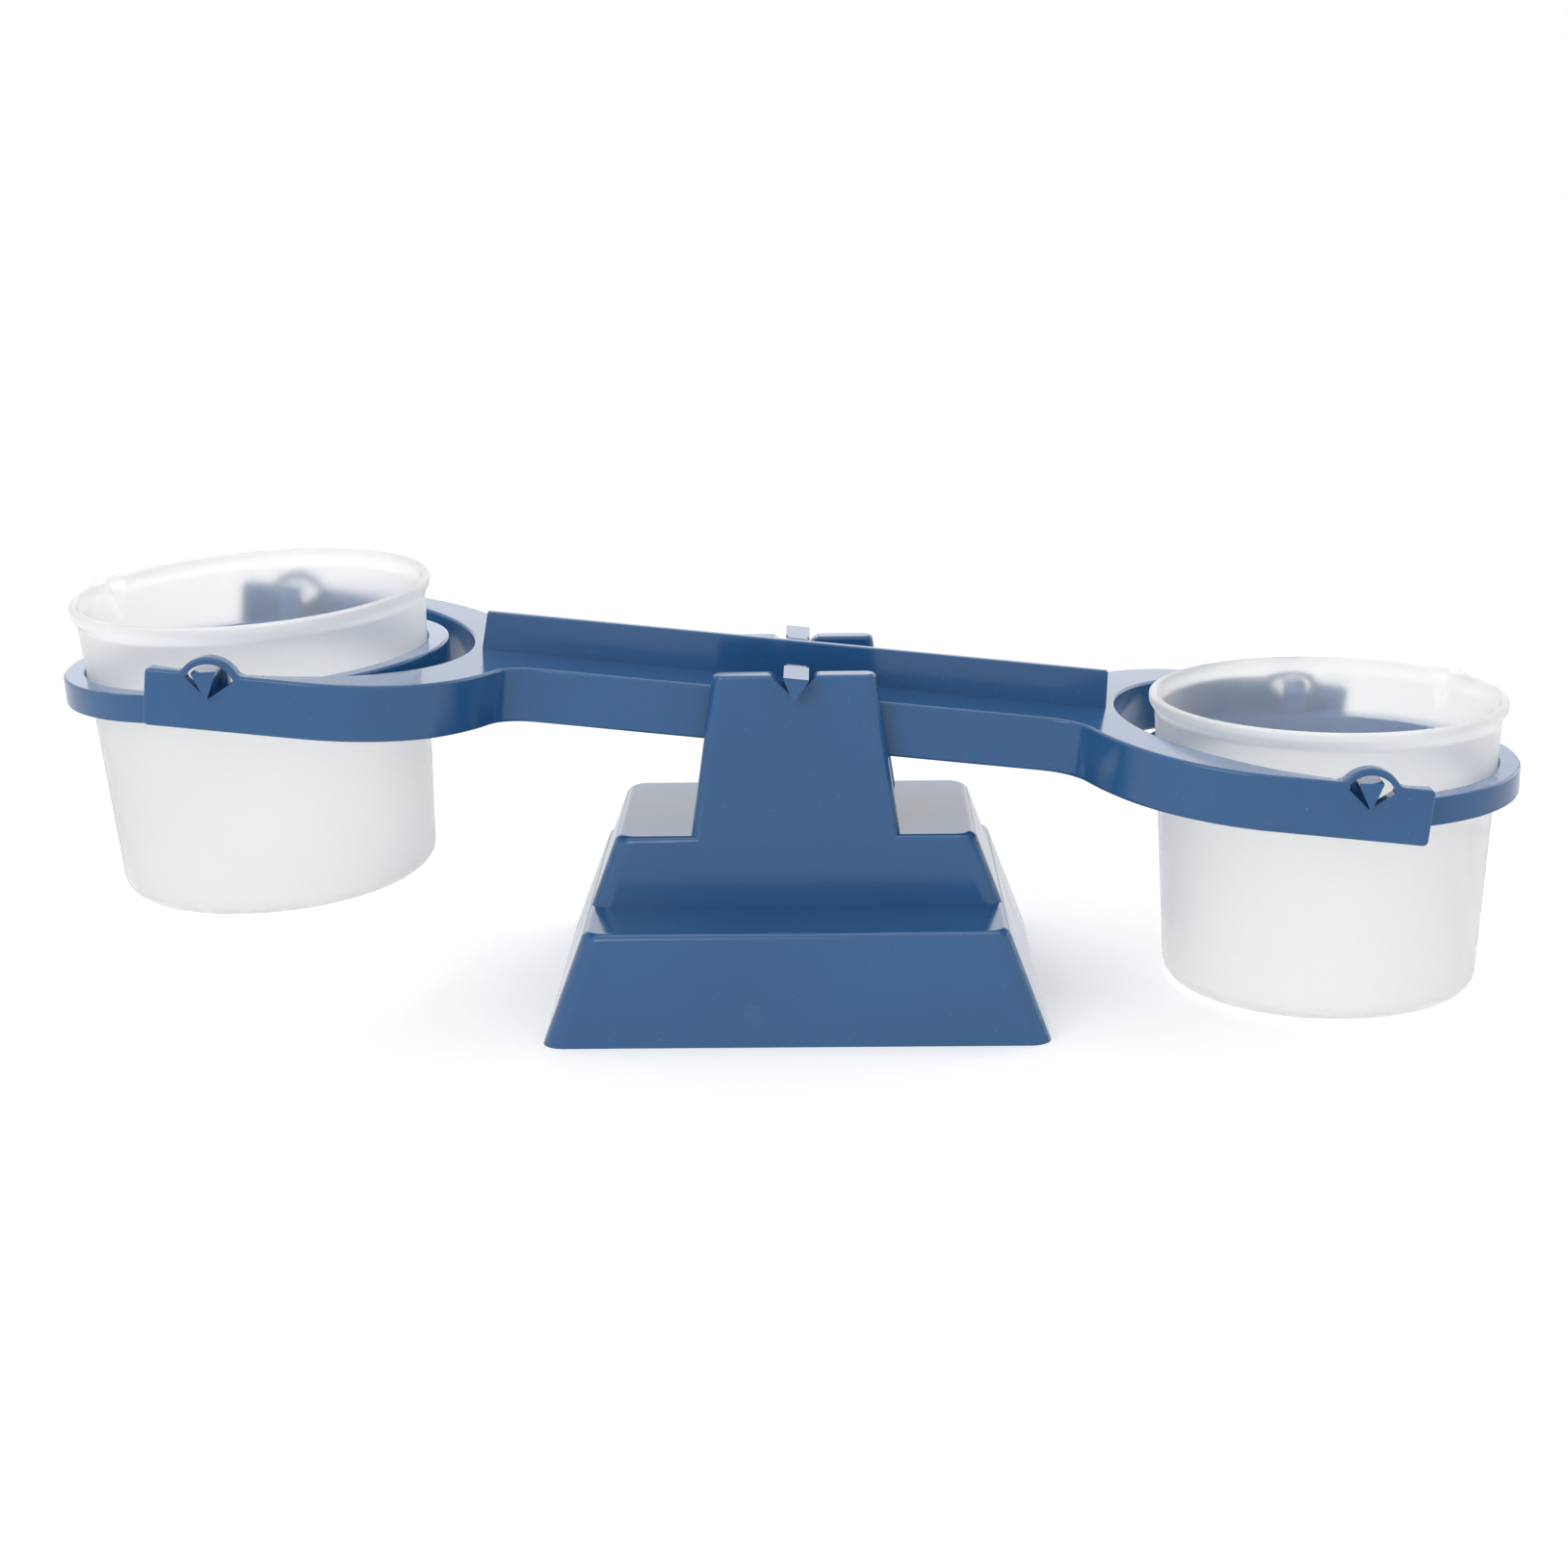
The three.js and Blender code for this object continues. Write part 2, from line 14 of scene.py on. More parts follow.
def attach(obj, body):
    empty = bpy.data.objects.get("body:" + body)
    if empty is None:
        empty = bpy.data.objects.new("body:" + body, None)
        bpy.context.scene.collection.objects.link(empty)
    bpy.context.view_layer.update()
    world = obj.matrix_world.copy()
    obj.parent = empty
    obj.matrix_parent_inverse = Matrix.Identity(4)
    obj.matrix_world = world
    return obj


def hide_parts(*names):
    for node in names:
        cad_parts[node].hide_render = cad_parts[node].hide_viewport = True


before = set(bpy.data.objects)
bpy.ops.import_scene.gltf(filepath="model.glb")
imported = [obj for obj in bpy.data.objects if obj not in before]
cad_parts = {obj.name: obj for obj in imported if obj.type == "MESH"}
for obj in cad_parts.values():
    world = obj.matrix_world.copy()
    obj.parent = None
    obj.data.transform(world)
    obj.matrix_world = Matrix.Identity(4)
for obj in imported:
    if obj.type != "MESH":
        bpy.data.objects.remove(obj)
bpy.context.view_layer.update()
MM = 0.001

# %% [markdown]
# The camera comes first. Its place and turn were found by matching corners of the real object, so they
# are plain numbers here. A level basis is built from the view direction, and the small roll is then turned
# in about the camera's own axis.

# %% Camera
YAW, PITCH, ROLL = (math.radians(angle) for angle in (-0.947, 14.747, -0.749))
CAMERA_PLACE = Vector((8.559, -724.921, 247.570))
SENSOR, PICTURE, FOCAL_LENGTH = 36, 1628, 2798.142  # millimetres, pixels, pixels

forward = Vector((math.sin(YAW) * math.cos(PITCH), math.cos(YAW) * math.cos(PITCH), -math.sin(PITCH)))
level = Vector((math.cos(YAW), -math.sin(YAW), 0))
basis = Matrix((level, level.cross(forward), -forward)).transposed()
turned_basis = basis @ Matrix.Rotation(ROLL, 3, "Z")
lens = bpy.data.cameras.new("camera")
lens.sensor_width = SENSOR
lens.lens = SENSOR * FOCAL_LENGTH / PICTURE
camera = bpy.data.objects.new("camera", lens)
bpy.context.scene.collection.objects.link(camera)
camera.matrix_world = Matrix.Translation(CAMERA_PLACE * MM) @ turned_basis.to_4x4()
bpy.context.scene.camera = camera
print("lens of", round(lens.lens, 2), "mm")

# %% [markdown]
# Blender models in metres, and the drawings of this balance are in millimetres. Each piece is therefore
# drawn in millimetres about a handy point of its own, such as the knife edge it hangs from, and one
# matrix then scales it and carries it to its place. The object itself stays at the origin, as the CAD
# nodes do.

# %% Helpers that finish a piece
DRAWN_MERGE, DONE_MERGE, SMOOTH_BELOW = 0.0005, 0.003, math.radians(34)


def piece_of(bm, name):
    """Turns a bmesh drawn in millimetres into an object of the scene."""
    bmesh.ops.remove_doubles(bm, verts=bm.verts, dist=DRAWN_MERGE)
    bmesh.ops.recalc_face_normals(bm, faces=bm.faces)
    mesh = bpy.data.meshes.new(name)
    bm.to_mesh(mesh)
    bm.free()
    obj = bpy.data.objects.new(name, mesh)
    bpy.context.scene.collection.objects.link(obj)
    return obj


def combine(body, tool, operation):
    """Joins a tool to a body, or cuts it away, and removes the tool."""
    step = body.modifiers.new("combine", "BOOLEAN")
    step.operation = operation
    step.solver = "EXACT"
    step.object = tool
    graph = bpy.context.evaluated_depsgraph_get()
    made = bpy.data.meshes.new_from_object(body.evaluated_get(graph))
    body.modifiers.clear()
    body.data = made
    bpy.data.objects.remove(tool)


def settle(obj, place, body, node):
    """Cleans a piece, carries it to its place, smooths its curves and lets it stand for its CAD node."""
    bm = bmesh.new()
    bm.from_mesh(obj.data)
    bmesh.ops.remove_doubles(bm, verts=bm.verts, dist=DONE_MERGE)
    bmesh.ops.dissolve_degenerate(bm, edges=bm.edges, dist=DONE_MERGE)
    bm.to_mesh(obj.data)
    bm.free()
    obj.data.transform(place @ Matrix.Scale(MM, 4))
    obj.data.shade_smooth()
    obj.data.set_sharp_from_angle(angle=SMOOTH_BELOW)
    weighted = obj.modifiers.new("face_weighted_normals", "WEIGHTED_NORMAL")
    weighted.keep_sharp = True
    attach(obj, body)
    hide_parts(node)
    print(obj.name, "has", len(obj.data.polygons), "faces")


# %% [markdown]
# The stand is one hollow moulding: a sloping skirt, a narrower riser on it, and two posts with a V notch
# in the top. Each of these is a box that tapers, with round corners. A cube gives the box, a scale of its
# top gives the taper, and two bevels round it: first the upright corners, then the rim.

# %% A tapered block with round corners
CORNER_STEPS, RIM_STEPS = 6, 4


def climb(edge):
    return abs(edge.verts[0].co.z - edge.verts[1].co.z)


def round_edges(bm, edges, size, steps):
    bmesh.ops.bevel(bm, geom=edges, offset=size, offset_type="OFFSET", affect="EDGES",
                    segments=steps, profile=0.5, material=-1)


def block(low, high, corner, rim):
    """A closed block; low and high hold z, half width, and the front and back in Y."""
    bm = bmesh.new()
    bmesh.ops.create_cube(bm, size=2)
    for vert in bm.verts:
        z, half, front, back = high if vert.co.z > 0 else low
        vert.co = Vector((half * vert.co.x, front if vert.co.y < 0 else back, z))
    round_edges(bm, [edge for edge in bm.edges if climb(edge) > 1], corner, CORNER_STEPS)
    top = max(bm.faces, key=lambda face: face.calc_center_median().z)
    round_edges(bm, list(top.edges), rim, RIM_STEPS)
    return bm


# %% [markdown]
# A level of the stand is a height with the half width, front and back that the moulding has there. Each
# side leans in by a fixed share of the height, so a block needs only its lowest and its highest level.

# %% Skirt and riser
LEDGE, DECK, POST_TOP = 30.5, 50.0, 93.8
SKIRT_HALF, SKIRT_DEPTH, SIDE_LEAN, FRONT_LEAN = 67.3, 56.9, 0.373, 0.077
SIDE_WALL = 1.07  # a leaning side wall, measured level, for each mm of its thickness
RISER_STEP, RISER_DEPTH, RISER_LEAN, RISER_ROOT = 0.3, 30.05, 0.004, 18
STAND_CORNER, STAND_RIM = 5.2, 1.8


def skirt_level(z, wall=0.0):
    half = SKIRT_HALF - SIDE_LEAN * z - SIDE_WALL * wall
    depth = SKIRT_DEPTH - FRONT_LEAN * z - wall
    return z, half, -depth, depth


def riser_level(z, wall=0.0):
    half = SKIRT_HALF - SIDE_LEAN * z - RISER_STEP - SIDE_WALL * wall
    depth = RISER_DEPTH + RISER_LEAN * (DECK - z) - wall
    return z, half, -depth, depth


skirt = block(skirt_level(0), skirt_level(LEDGE), STAND_CORNER, STAND_RIM)
stand = piece_of(skirt, "stand_moulding")
riser = block(riser_level(RISER_ROOT), riser_level(DECK), STAND_CORNER, STAND_RIM)
combine(stand, piece_of(riser, "riser"), "UNION")
print("skirt and riser:", len(stand.data.polygons), "faces")

# %% [markdown]
# The two posts are mirror images, so one is drawn and the other is its half turn. The hollow inside
# follows the same levels a wall's thickness further in, which is how a moulding keeps an even wall.

# %% Posts and hollow
POST_FOOT_HALF, POST_TOP_HALF, POST_ROOT, POST_CORNER, POST_RIM = 28.1, 21.7, 47, 2.9, 1.0
POST_FRONT, POST_FRONT_LEAN, POST_BACK, POST_BACK_LEAN = 30.0, 1.6, 21.9, 0.3
STAND_WALL, HOLLOW_CORNER, HOLLOW_RIM, RISER_HOLLOW_ROOT = 2.5, 3.7, 0.8, 21
POST_WALL, POST_HOLLOW_ROOT, POST_HOLLOW_TOP = 2.2, 43.5, 82
POST_HOLLOW_CORNER, POST_HOLLOW_RIM = 0.8, 0.4


def post_level(z, wall=0.0):
    rise = (z - DECK) / (POST_TOP - DECK)
    half = POST_FOOT_HALF + (POST_TOP_HALF - POST_FOOT_HALF) * rise - wall
    front = -(POST_FRONT - POST_FRONT_LEAN * rise) + wall
    return z, half, front, -(POST_BACK + POST_BACK_LEAN * rise) - wall


def front_and_back(low, high, corner, rim):
    """A block at the front, and the same block half turned to the back."""
    back = block(low, high, corner, rim)
    bmesh.ops.rotate(back, cent=(0, 0, 0), matrix=Matrix.Rotation(math.pi, 3, "Z"), verts=back.verts)
    return [block(low, high, corner, rim), back]


for post in front_and_back(post_level(POST_ROOT), post_level(POST_TOP), POST_CORNER, POST_RIM):
    combine(stand, piece_of(post, "post"), "UNION")
hollows = [
    block(skirt_level(-1, STAND_WALL), skirt_level(LEDGE - STAND_WALL, STAND_WALL),
          HOLLOW_CORNER, HOLLOW_RIM),
    block(riser_level(RISER_HOLLOW_ROOT, STAND_WALL), riser_level(DECK - STAND_WALL, STAND_WALL),
          HOLLOW_CORNER, HOLLOW_RIM),
    *front_and_back(post_level(POST_HOLLOW_ROOT, POST_WALL), post_level(POST_HOLLOW_TOP, POST_WALL),
                    POST_HOLLOW_CORNER, POST_HOLLOW_RIM),
]
for hollow in hollows:
    combine(stand, piece_of(hollow, "hollow"), "DIFFERENCE")
print("posts and hollow:", len(stand.data.polygons), "faces")

# %% [markdown]
# A V notch runs across both posts, and the beam's knife edges lie in it. Its outline is drawn with a pen:
# a vertex is extruded along a line, or spun about a centre. Half of the V with its rounded lip is drawn,
# a mirror closes it, and the face is extruded along Y into a prism that cuts both posts at once.

# %% A pen that draws outlines
DRAWN_ACROSS = (0, 1, 0)  # the axis of an arc in an upright outline


def verts_in(geom):
    return [item for item in geom if isinstance(item, bmesh.types.BMVert)]


def line_to(bm, vert, place):
    made = bmesh.ops.extrude_vert_indiv(bm, verts=[vert])["verts"][0]
    made.co = Vector(place)
    return made


def arc_about(bm, vert, centre, angle, steps, axis=(0, 0, 1)):
    made = bmesh.ops.spin(bm, geom=[vert], cent=centre, axis=axis, angle=angle, steps=steps,
                          use_duplicate=False)
    return verts_in(made["geom_last"])[0]


def swept(bm, vec):
    """Fills the closed line that was drawn and sweeps the face into a solid."""
    bmesh.ops.remove_doubles(bm, verts=bm.verts, dist=0.001)
    if not bm.faces:
        bmesh.ops.contextual_create(bm, geom=bm.edges[:])
    made = bmesh.ops.extrude_face_region(bm, geom=bm.faces[:])["geom"]
    bmesh.ops.translate(bm, vec=vec, verts=verts_in(made))
    bmesh.ops.recalc_face_normals(bm, faces=bm.faces)
    return bm


# %% Notch
KNIFE_HEIGHT, KNIFE_ROOM = 88.0, 0.3
NOTCH_TIP, NOTCH_ANGLE, NOTCH_LIP = KNIFE_HEIGHT - KNIFE_ROOM, math.radians(45.5), 1.5
NOTCH_FRONT, NOTCH_CEILING = -70, POST_TOP + 5
MIRROR_MERGE = 0.01


def notch_prism():
    bm = bmesh.new()
    turn = math.pi / 2 - NOTCH_ANGLE
    lip_x = (POST_TOP - NOTCH_TIP) * math.tan(NOTCH_ANGLE) + NOTCH_LIP * math.tan(turn / 2)
    lip_z = POST_TOP - NOTCH_LIP
    lip_start = (lip_x - NOTCH_LIP * math.sin(turn), NOTCH_FRONT, lip_z + NOTCH_LIP * math.cos(turn))
    pen = bm.verts.new((0, NOTCH_FRONT, NOTCH_TIP))
    pen = line_to(bm, pen, lip_start)
    pen = arc_about(bm, pen, (lip_x, NOTCH_FRONT, lip_z), turn, 6, axis=DRAWN_ACROSS)
    pen = line_to(bm, pen, (lip_x, NOTCH_FRONT, NOTCH_CEILING))
    line_to(bm, pen, (0, NOTCH_FRONT, NOTCH_CEILING))
    bmesh.ops.mirror(bm, geom=bm.verts[:] + bm.edges[:], axis="X", merge_dist=MIRROR_MERGE)
    return swept(bm, (0, -2 * NOTCH_FRONT, 0))


combine(stand, piece_of(notch_prism(), "notch"), "DIFFERENCE")
settle(stand, Matrix.Identity(4), "stand_body", "stand")

# %% [markdown]
# The beam is a flat deck with skirts that widens into a fork at each end. Its plan is straight lines and
# arcs, so the same pen draws it. One quarter is drawn, two mirrors make the rest, and the closed line
# becomes a face.

# %% Plan of the beam
REACH = 147.9  # from the middle of the beam to a ring's knife edges
OPENING, FORK, NECK, SHOULDER = 59.0, 74.0, 12.0, 45.0  # the radii of the fork
BEAM_HALF, EAR = 21.0, 62.4  # from the middle line to the skirt and to an ear's outer face
END, CHANNEL_END = REACH + 16.4, REACH - 20.0


def beam_plan():
    """The beam's outline in plan as one face at z 0."""
    bm = bmesh.new()
    neck_x = REACH - math.sqrt((FORK + NECK) ** 2 - (BEAM_HALF + NECK) ** 2)
    neck_turn = math.atan2(BEAM_HALF + NECK, REACH - neck_x)
    shoulder_x = REACH - math.sqrt((FORK - SHOULDER) ** 2 - (EAR - SHOULDER) ** 2)
    shoulder_turn = math.atan2(SHOULDER - EAR, shoulder_x - REACH)
    inner = math.sqrt(OPENING ** 2 - (END - REACH) ** 2)
    pen = bm.verts.new((0, -BEAM_HALF, 0))
    pen = line_to(bm, pen, (neck_x, -BEAM_HALF, 0))
    pen = arc_about(bm, pen, (neck_x, -BEAM_HALF - NECK, 0), neck_turn - math.pi / 2, 8)
    pen = arc_about(bm, pen, (REACH, 0, 0), shoulder_turn - neck_turn + math.pi, 8)
    pen = arc_about(bm, pen, (shoulder_x, SHOULDER - EAR, 0), -math.pi / 2 - shoulder_turn, 14)
    pen = line_to(bm, pen, (END, -EAR, 0))
    pen = line_to(bm, pen, (END, -inner, 0))
    end_turn = math.atan2(-inner, END - REACH)
    arc_about(bm, pen, (REACH, 0, 0), -math.pi - end_turn, 36)
    for axis in ("Y", "X"):
        bmesh.ops.mirror(bm, geom=bm.verts[:] + bm.edges[:], axis=axis, merge_dist=MIRROR_MERGE)
    bmesh.ops.remove_doubles(bm, verts=bm.verts, dist=MIRROR_MERGE)
    bmesh.ops.contextual_create(bm, geom=bm.edges[:])
    return bm


plan = beam_plan()
print("plan of", len(plan.verts), "corners and", len(plan.faces), "face")

# %% [markdown]
# Extruding the plan gives a solid slab with crisp edges. Real mouldings have radii there that catch the
# light: the ears' ends get a large one, and every edge that is still sharp a small one. The underside is
# then inset by a wall and pushed up into a channel.

# %% Deck, skirts and channel
DECK_TOP, SKIRT, BEAM_WALL = -0.7, 14.9, 2.2
EAR_END_ROUND, BEAM_ROUND, CREASE = 1.4, 0.9, math.radians(40)


def lowest_face(bm):
    """The largest of the faces that lie lowest."""
    return min(bm.faces, key=lambda face: (round(face.calc_center_median().z, 3), -face.calc_area()))


def deck_of(bm):
    swept(bm, (0, 0, -SKIRT))
    ends = [edge for edge in bm.edges
            if climb(edge) < 0.01 and all(abs(v.co.x) > END - 0.01 for v in edge.verts)]
    round_edges(bm, ends, EAR_END_ROUND, 6)
    round_edges(bm, [edge for edge in bm.edges if edge.calc_face_angle(0) > CREASE], BEAM_ROUND, 3)
    for side in (-1, 1):
        under = lowest_face(bm)
        part = [under, *under.edges, *under.verts]
        bmesh.ops.bisect_plane(bm, geom=part, plane_co=(side * CHANNEL_END, 0, 0), plane_no=(side, 0, 0))
    under = lowest_face(bm)
    bmesh.ops.inset_region(bm, faces=[under], thickness=BEAM_WALL, use_even_offset=True)
    pushed = bmesh.ops.extrude_face_region(bm, geom=[under])["geom"]
    bmesh.ops.translate(bm, vec=(0, 0, SKIRT - BEAM_WALL), verts=verts_in(pushed))
    bmesh.ops.delete(bm, geom=[under], context="FACES_ONLY")
    bmesh.ops.translate(bm, vec=(0, 0, DECK_TOP), verts=bm.verts)
    return bm


beam = piece_of(deck_of(plan), "beam_moulding")
print("deck:", len(beam.data.polygons), "faces")

# %% [markdown]
# On the deck stand a long rib and a low cross web. The web ends in two stubs at the deck's sides, and
# past the deck each stub narrows to a knife edge underneath. All are prisms along Y, so a list of corners
# and two depths make each one, and a bevel of every edge gives the rib, the web and the stubs the radius
# of a moulding.

# %% Prisms
KNIFE_FLAT, KNIFE_SHOULDER = 0.15, 0.4


def prism(corners, front, back):
    """A closed prism with the given X and Z corners, from front to back in Y."""
    bm = bmesh.new()
    bm.faces.new([bm.verts.new((x, front, z)) for x, z in corners])
    return swept(bm, (0, back - front, 0))


def rounded(bm, size):
    round_edges(bm, bm.edges[:], size, 3)
    return bm


def upright(half, low, high):
    """The corners of an upright rectangle."""
    return [(-half, low), (half, low), (half, high), (-half, high)]


def on_side(side, near, far):
    """The front and back of what lies between two distances from the middle line, on one side."""
    return sorted((side * near, side * far))


def knife(half, top, front, back):
    """A wedge with a flat top and its fine edge at the origin."""
    shoulder = top - KNIFE_SHOULDER
    corners = [(-KNIFE_FLAT, 0), (KNIFE_FLAT, 0), (half, shoulder), (half, top),
               (-half, top), (-half, shoulder)]
    return prism(corners, front, back)


# %% Rib, web and knife edges
RIB, RIB_TOP, RIB_ROOT, RIB_DRAFT, RIB_HALF, RIB_ROUND = 85.4, 9.5, DECK_TOP - 1.2, 0.8, 1.3, 0.5
WEB_TOP, WEB_END, WEB_ROUND, HUB_ROOT = 2.4, 19.6, 0.4, DECK_TOP - 1
BAR, BAR_TOP, BAR_END = 3.35, 6.4, 35.0
STUB_START, STUB_END, STUB_ROUND, KNIFE_START = 16.6, 20.8, 0.9, 19.8

rib_foot = RIB + RIB_DRAFT
rib_corners = [(-rib_foot, RIB_ROOT), (rib_foot, RIB_ROOT), (RIB, RIB_TOP), (-RIB, RIB_TOP)]
combine(beam, piece_of(rounded(prism(rib_corners, -RIB_HALF, RIB_HALF), RIB_ROUND), "rib"), "UNION")
web = prism(upright(RIB_HALF, HUB_ROOT, WEB_TOP), -WEB_END, WEB_END)
combine(beam, piece_of(rounded(web, WEB_ROUND), "web"), "UNION")
for side in (-1, 1):
    stub = prism(upright(BAR, HUB_ROOT, BAR_TOP), *on_side(side, STUB_START, STUB_END))
    combine(beam, piece_of(rounded(stub, STUB_ROUND), "stub"), "UNION")
    bar_end = knife(BAR, BAR_TOP, *on_side(side, KNIFE_START, BAR_END))
    combine(beam, piece_of(bar_end, "bar_end"), "UNION")
print("rib, web and knife edges:", len(beam.data.polygons), "faces")

# %% [markdown]
# Each fork arm ends in an ear with an eye: a V below, in which a ring's knife edge lies, under a round
# arch. The arch blends into the ear with a fillet at each foot, and the eye is one prism that is cut
# through it.

# %% Arch and eye
DROP = 6.9  # a ring's knife edges lie this far below the beam's own
EYE_SLOPE, EYE_RADIUS, EYE_RISE, EYE_ROUND = math.radians(90 - 51.0), 6.9, 2.1, 0.6
ARCH_WALL, ARCH_FILLET, ARCH_ROUND = 1.5, 2.0, 0.6


def eye(x, z, front, back):
    """The eye as a prism: up one side of the V, over the arch and back to the tip."""
    start = EYE_SLOPE - math.asin(EYE_RISE * math.cos(EYE_SLOPE) / EYE_RADIUS)
    bm = bmesh.new()
    tip = bm.verts.new((x, front, z))
    top_of_v = (x + EYE_RADIUS * math.cos(start), front, z + EYE_RISE + EYE_RADIUS * math.sin(start))
    pen = line_to(bm, tip, top_of_v)
    pen = arc_about(bm, pen, (x, front, z + EYE_RISE), 2 * start - math.pi, 24, axis=DRAWN_ACROSS)
    bm.edges.new((pen, tip))
    swept(bm, (0, back - front, 0))
    corners = [edge for edge in bm.edges
               if edge.calc_face_angle(0) > CREASE and all(v.co.z > z + 1 for v in edge.verts)
               and abs(edge.verts[0].co.y - edge.verts[1].co.y) > 1]
    round_edges(bm, corners, EYE_ROUND, 4)
    return bm


def arch(x, front, back):
    """The solid arch before its eye is cut: fillet, round top, fillet, with rounded rims."""
    bm = bmesh.new()
    centre, foot = EYE_RISE - DROP, DECK_TOP + ARCH_FILLET
    run = math.sqrt((EYE_RADIUS + ARCH_WALL + ARCH_FILLET) ** 2 - (foot - centre) ** 2)
    turn = math.atan2(foot - centre, run)
    start = pen = bm.verts.new((x + run, front, DECK_TOP - 2))
    pen = line_to(bm, pen, (x + run, front, DECK_TOP))
    pen = arc_about(bm, pen, (x + run, front, foot), math.pi / 2 - turn, 6, axis=DRAWN_ACROSS)
    pen = arc_about(bm, pen, (x, front, centre), 2 * turn - math.pi, 28, axis=DRAWN_ACROSS)
    pen = arc_about(bm, pen, (x - run, front, foot), math.pi / 2 - turn, 6, axis=DRAWN_ACROSS)
    pen = line_to(bm, pen, (x - run, front, DECK_TOP - 2))
    bm.edges.new((pen, start))
    swept(bm, (0, back - front, 0))
    caps = [face for face in bm.faces if len(face.verts) > 4]
    round_edges(bm, [edge for cap in caps for edge in cap.edges], ARCH_ROUND, 3)
    return bm


def drum(radius, depth, x):
    bm = bmesh.new()
    bmesh.ops.create_cone(bm, cap_ends=True, segments=128, radius1=radius, radius2=radius, depth=depth)
    bmesh.ops.translate(bm, vec=(x, 0, 0), verts=bm.verts)
    return bm


# %% Ears, and the beam in its place
EAR_DEPTH, FLUSH, DRUM_DEPTH, EYE_PAST = 6, 0.02, 60, 3
LOW_RING_HEIGHT = 65.3  # of the right ring's knife edges, with the beam at rest

for x in (-REACH, REACH):
    for front, back in ((-EAR + FLUSH, -EAR + EAR_DEPTH), (EAR - EAR_DEPTH, EAR - FLUSH)):
        hoop = piece_of(arch(x, front, back), "arch")
        combine(hoop, piece_of(drum(OPENING, DRUM_DEPTH, x), "fork_gap"), "DIFFERENCE")
        combine(beam, hoop, "UNION")
        hole = eye(x, -DROP - KNIFE_ROOM, front - EYE_PAST, back + EYE_PAST)
        combine(beam, piece_of(hole, "eye"), "DIFFERENCE")
TILT = math.asin((KNIFE_HEIGHT - LOW_RING_HEIGHT) / math.hypot(REACH, DROP)) - math.atan2(DROP, REACH)
beam_place = Matrix.Translation((0, 0, KNIFE_HEIGHT * MM)) @ Matrix.Rotation(TILT, 4, "Y")
settle(beam, beam_place, "beam_body", "beam")
print("the beam tips", round(math.degrees(TILT), 2), "degrees")

# %% [markdown]
# A ring is a turned piece, so its section is drawn once and spun round the bucket's axis. It is an
# upside-down channel, with a bore that follows the bucket's draft. Two pillars stand on it and carry the
# knife edges that hang in the eyes. Heights are counted from those edges.

# %% Turned pieces
SPIN_STEPS = 144
FOOT, FOOT_RADIUS, DRAFT = -65.0, 43, 0.053


def turned(section):
    """Spins a line of radii and heights into a solid of revolution."""
    bm = bmesh.new()
    first = pen = bm.verts.new((section[0][0], 0, section[0][1]))
    for radius, height in section[1:]:
        pen = line_to(bm, pen, (radius, 0, height))
    if section[0][0] > 0:
        bm.edges.new((pen, first))
    bmesh.ops.spin(bm, geom=bm.verts[:] + bm.edges[:], cent=(0, 0, 0), axis=(0, 0, 1), angle=2 * math.pi,
                   steps=SPIN_STEPS, use_merge=True)
    bmesh.ops.remove_doubles(bm, verts=bm.verts, dist=0.001)
    return bm


def bend(radius, height, size, start, end, steps=4):
    """Points of a rounded corner in a section."""
    turns = [math.radians(start + (end - start) * i / steps) for i in range(steps + 1)]
    return [(radius + size * math.cos(turn), height + size * math.sin(turn)) for turn in turns]


def bucket_radius(height):
    """The outside of a bucket's wall, which widens upwards."""
    return FOOT_RADIUS + DRAFT * (height - FOOT)


# %% Rings
RING_TOP, RING_FOOT, RING_OUTER, RING_WALL, BUCKET_ROOM = -1.2, -8.6, 52.4, 1.9, 0.4
RING_FOOT_ROUND, RING_EDGE_ROUND, BORE_ROUND = 0.3, 0.8, 0.4
PILLAR_HALF, PILLAR_TOP, PILLAR_SLOPE, PILLAR_ROUND = 3.1, 7.1, 2, 0.6
PILLAR_INNER, PILLAR_OUTER = bucket_radius(RING_TOP) + BUCKET_ROOM + 1.2, RING_OUTER - 0.2
RING_KNIFE_START, RING_KNIFE_END = RING_OUTER - 1.2, EAR + 2.2


def ring_section():
    foot_bore, top_bore = (bucket_radius(height) + BUCKET_ROOM for height in (RING_FOOT, RING_TOP))
    roof, rounding = RING_TOP - RING_WALL, RING_EDGE_ROUND
    return [
        (foot_bore, RING_FOOT), (foot_bore + RING_WALL, RING_FOOT), (foot_bore + RING_WALL, roof),
        (RING_OUTER - RING_WALL, roof), (RING_OUTER - RING_WALL, RING_FOOT),
        *bend(RING_OUTER - RING_FOOT_ROUND, RING_FOOT + RING_FOOT_ROUND, RING_FOOT_ROUND, -90, 0, 2),
        *bend(RING_OUTER - rounding, RING_TOP - rounding, rounding, 0, 90),
        *bend(top_bore + BORE_ROUND, RING_TOP - BORE_ROUND, BORE_ROUND, 90, 180),
    ]


def pillar(side):
    """A pillar whose top slopes down towards the bucket."""
    bm = prism(upright(PILLAR_HALF, RING_TOP - 1, PILLAR_TOP), *on_side(side, PILLAR_INNER, PILLAR_OUTER))
    for vert in bm.verts:
        if vert.co.z > 0 and abs(vert.co.y) < PILLAR_INNER + 0.1:
            vert.co.z -= PILLAR_SLOPE
    bmesh.ops.triangulate(rounded(bm, PILLAR_ROUND), faces=bm.faces[:])
    return bm


